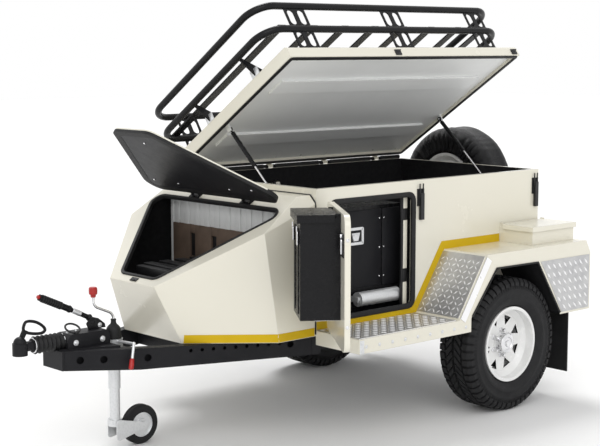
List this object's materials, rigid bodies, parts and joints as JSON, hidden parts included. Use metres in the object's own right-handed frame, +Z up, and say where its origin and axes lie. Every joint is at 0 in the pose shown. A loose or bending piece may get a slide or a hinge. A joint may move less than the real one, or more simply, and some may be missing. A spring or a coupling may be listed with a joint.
{
  "type": "off-road camper trailer",
  "caption": "Single-axle off-road camper trailer with a hinged lid and rack, side doors with can boxes, a nose hatch, fenders and a jockey wheel.",
  "frame": {"origin": "centre of the coupling's ball socket", "axes": "+X to the trailer's rear along its length, +Y to its right, +Z up; the ball leaves the socket along -Z"},
  "size_m": [3.453, 1.9804, 2.2077],
  "materials": {
    "cream_paint": "gloss",
    "charcoal_paint": "satin",
    "black_steel": "satin",
    "tread_plate": "bright",
    "galvanised": "satin",
    "white_rim": "gloss",
    "tyre_rubber": "matte",
    "rubber": "matte",
    "grey_liner": "satin",
    "cover_cloth": "matte",
    "lamp_red": "gloss",
    "black_plastic": "matte",
    "bright_steel": "polished"
  },
  "bodies": {
    "chassis": {"drawbar": "charcoal_paint", "chassis": "charcoal_paint", "axle": "charcoal_paint", "leaf_springs": "charcoal_paint", "coupling_head": "charcoal_paint", "coupling_gaiter": "rubber", "coupling_housing": "charcoal_paint", "coupling_handle": "black_plastic", "handbrake_lever": "black_plastic", "breakaway_ring": "black_plastic", "jockey_sleeve": "galvanised", "jockey_crank": "black_plastic", "tub_floor": "black_steel", "tub_wall_left": "cream_paint", "tub_wall_right": "cream_paint", "tub_wall_front": "cream_paint", "tub_wall_rear": "cream_paint", "cabinet": "black_steel", "roll_holder": "bright_steel", "nose_shell": "cream_paint", "fenders": "cream_paint", "tread_plates": "tread_plate", "mudflaps": "rubber", "fender_boxes": "cream_paint", "lid_latches": "black_plastic", "tail_lamps": "lamp_red", "spare_carrier": "charcoal_paint", "spare_rim": "white_rim", "spare_cover": "cover_cloth", "hinge_bases": "black_steel"},
    "lid": {"lid_shell": "cream_paint", "lid_liner": "grey_liner", "rack_frame": "black_steel", "rack_slats": "black_steel"},
    "strut_barrels": {"strut_barrels": "black_steel"},
    "strut_rods": {"strut_rods": "bright_steel"},
    "hatch": {"hatch_panel": "black_steel"},
    "door_left": {"door_left": "cream_paint", "can_box_left": "black_steel"},
    "can_lid_left": {"can_lid_left": "black_steel"},
    "door_right": {"door_right": "cream_paint", "can_box_right": "black_steel"},
    "can_lid_right": {"can_lid_right": "black_steel"},
    "box_lid_left": {"box_lid_left": "cream_paint"},
    "box_lid_right": {"box_lid_right": "cream_paint"},
    "wheel_left": {"tyre_left": "tyre_rubber", "wheel_left": "white_rim"},
    "wheel_right": {"tyre_right": "tyre_rubber", "wheel_right": "white_rim"},
    "jockey_leg": {"jockey_leg": "galvanised"},
    "jockey_fork": {"jockey_fork": "galvanised"},
    "jockey_wheel": {"jockey_wheel": "rubber"}
  },
  "joints": [
    {"name": "wheel_left_spin", "type": "hinge", "parent": "chassis", "child": "wheel_left", "pos_m": [2.576, -0.726, -0.2065], "axis": [0, 1, 0], "continuous": true},
    {"name": "wheel_right_spin", "type": "hinge", "parent": "chassis", "child": "wheel_right", "pos_m": [2.576, 0.726, -0.2065], "axis": [0, 1, 0], "continuous": true},
    {"name": "jockey_lift", "type": "slide", "parent": "chassis", "child": "jockey_leg", "axis": [0, 0, 1], "range_m": [0, 0.15]},
    {"name": "jockey_swivel", "type": "hinge", "parent": "jockey_leg", "child": "jockey_fork", "pos_m": [0.528, 0, -0.438], "axis": [0, 0, 1], "continuous": true},
    {"name": "jockey_spin", "type": "hinge", "parent": "jockey_fork", "child": "jockey_wheel", "pos_m": [0.676, 0, -0.473], "axis": [0, 1, 0], "continuous": true},
    {"name": "lid_hinge", "type": "hinge", "parent": "chassis", "child": "lid", "pos_m": [2.254, 0.564, 0.7145], "axis": [-1, 0, 0], "range_deg": [-33.6, 0]},
    {"name": "strut_swing", "type": "hinge", "parent": "lid", "child": "strut_barrels", "pos_m": [2.254, 0.18086, 0.96906], "axis": [-1, 0, 0], "range_deg": [0, 58.77]},
    {"name": "strut_stroke", "type": "slide", "parent": "strut_barrels", "child": "strut_rods", "axis": [0, 0.7343, 0.6788], "range_m": [0, 0.1999]},
    {"name": "hatch_hinge", "type": "hinge", "parent": "chassis", "child": "hatch", "pos_m": [1.20197, 0, 0.65002], "axis": [0, 1, 0], "range_deg": [-66, 0]},
    {"name": "door_left_hinge", "type": "hinge", "parent": "chassis", "child": "door_left", "pos_m": [1.441, -0.576, 0.327], "axis": [0, 0, -1], "range_deg": [-126, 0]},
    {"name": "can_lid_left_hinge", "type": "hinge", "parent": "door_left", "child": "can_lid_left", "pos_m": [1.19198, -0.87281, 0.632], "axis": [0.5878, 0.809, 0], "range_deg": [0, 75]},
    {"name": "door_right_hinge", "type": "hinge", "parent": "chassis", "child": "door_right", "pos_m": [1.441, 0.576, 0.327], "axis": [0, 0, 1], "range_deg": [0, 126]},
    {"name": "can_lid_right_hinge", "type": "hinge", "parent": "door_right", "child": "can_lid_right", "pos_m": [1.8275, 0.603, 0.632], "axis": [1, 0, 0], "range_deg": [0, 75]},
    {"name": "box_lid_left_hinge", "type": "hinge", "parent": "chassis", "child": "box_lid_left", "pos_m": [2.978, -0.566, 0.411], "axis": [-1, 0, 0], "range_deg": [0, 80]},
    {"name": "box_lid_right_hinge", "type": "hinge", "parent": "chassis", "child": "box_lid_right", "pos_m": [2.978, 0.566, 0.411], "axis": [1, 0, 0], "range_deg": [0, 80]}
  ],
  "couplings": [
    {"joint": "strut_swing", "follows": "lid_hinge", "ratio": -1.7431},
    {"joint": "strut_stroke", "follows": "lid_hinge", "m_per_rad": -0.34002}
  ]
}
